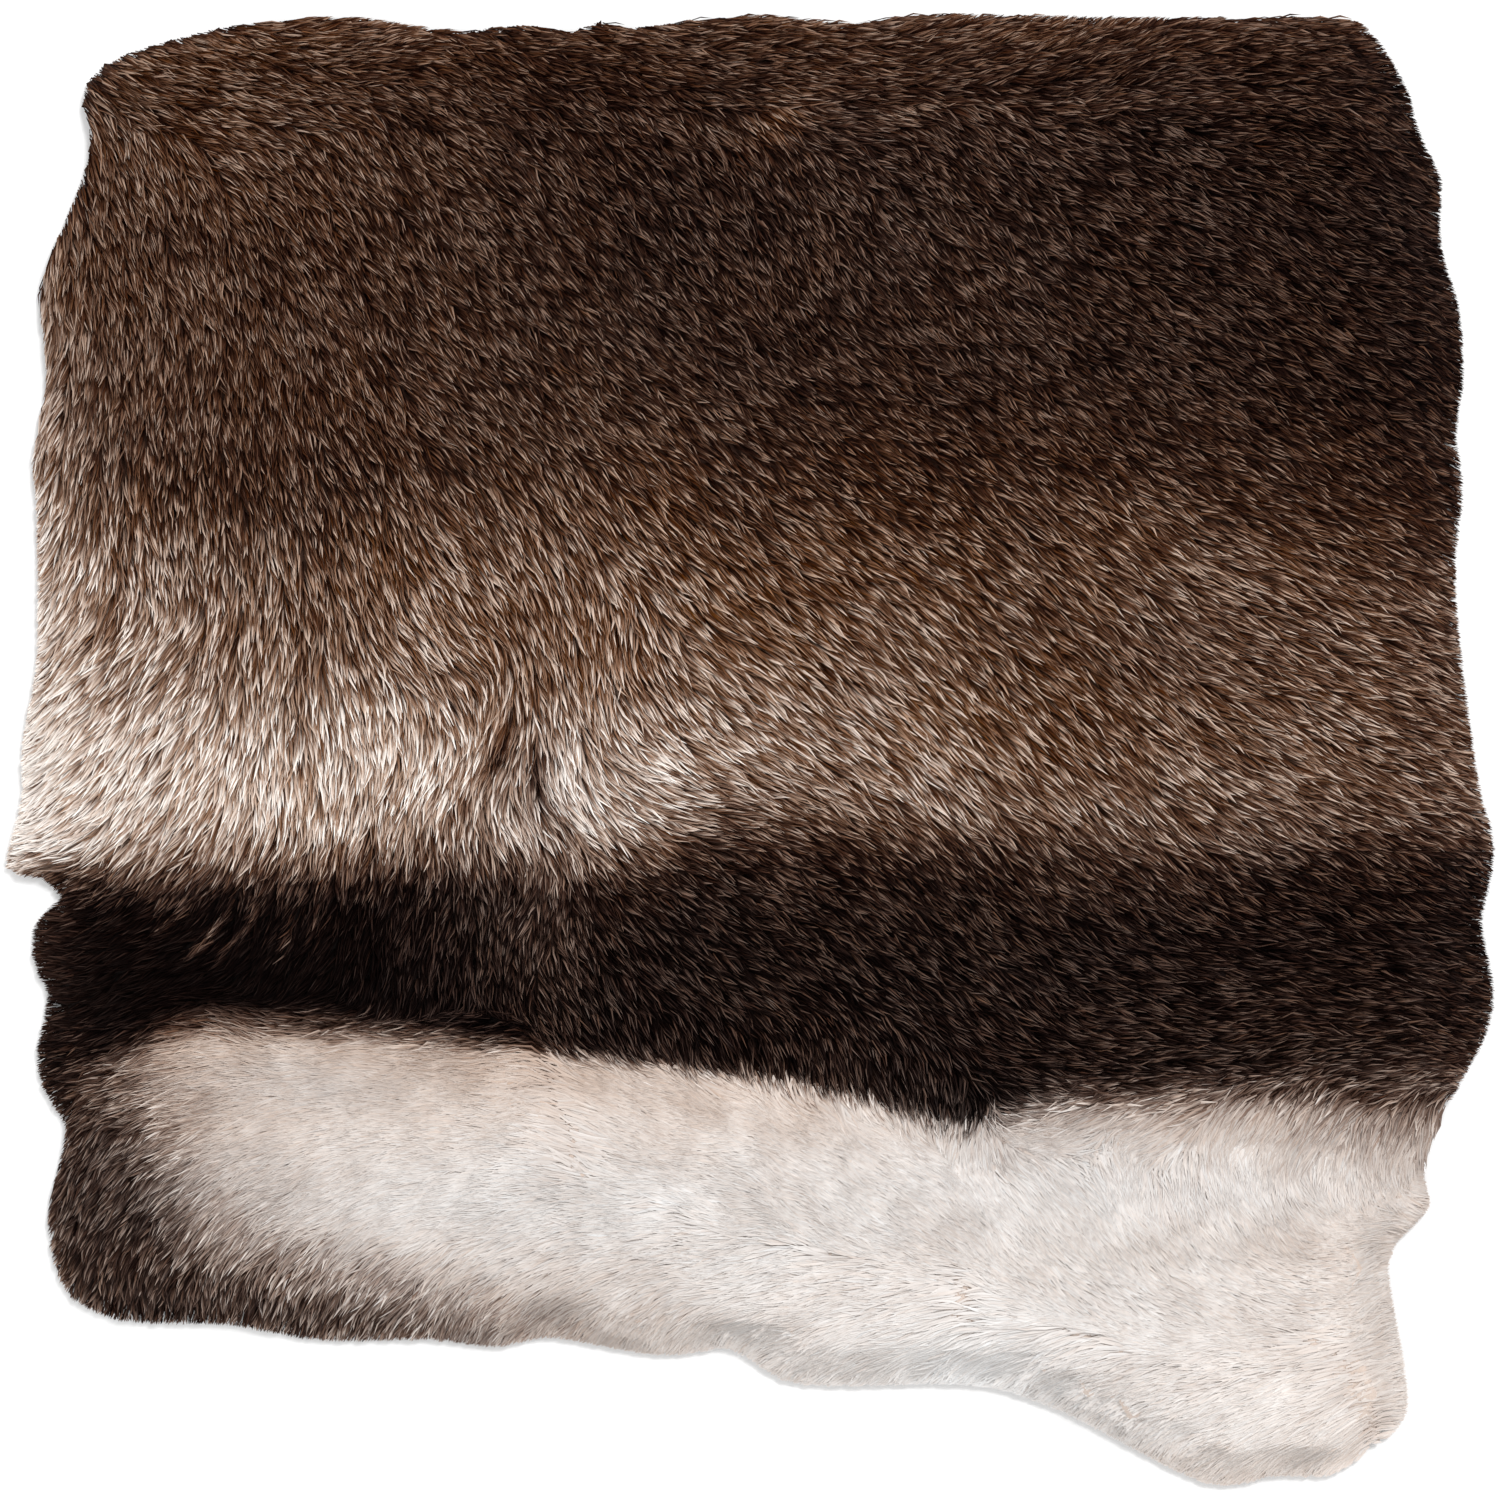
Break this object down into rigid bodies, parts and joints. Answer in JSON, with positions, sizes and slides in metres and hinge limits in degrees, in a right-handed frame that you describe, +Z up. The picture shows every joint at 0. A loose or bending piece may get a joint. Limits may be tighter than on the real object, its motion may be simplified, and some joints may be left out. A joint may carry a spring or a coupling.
{
  "type": "reindeer skin seat pad",
  "caption": "Flat, roughly square seat pad cut from a reindeer hide, hair side up, with a brown back coat, white belly coat and ragged rim of hair locks.",
  "frame": {"origin": "centre of the footprint's bounding box, on the surface that the leather lies on", "axes": "+X along the animal's side (picture right), +Y from the white belly coat up to the dark back, +Z up out of the hair side"},
  "size_m": [0.4, 0.395, 0.0242],
  "materials": {
    "reindeer_hide": "tanned hide with its coat of hair: dark brown back, tan flank, pale band, blackish stripe and cream-white belly, suede flesh side"
  },
  "bodies": {
    "root": {"hide": "reindeer_hide"}
  },
  "joints": []
}
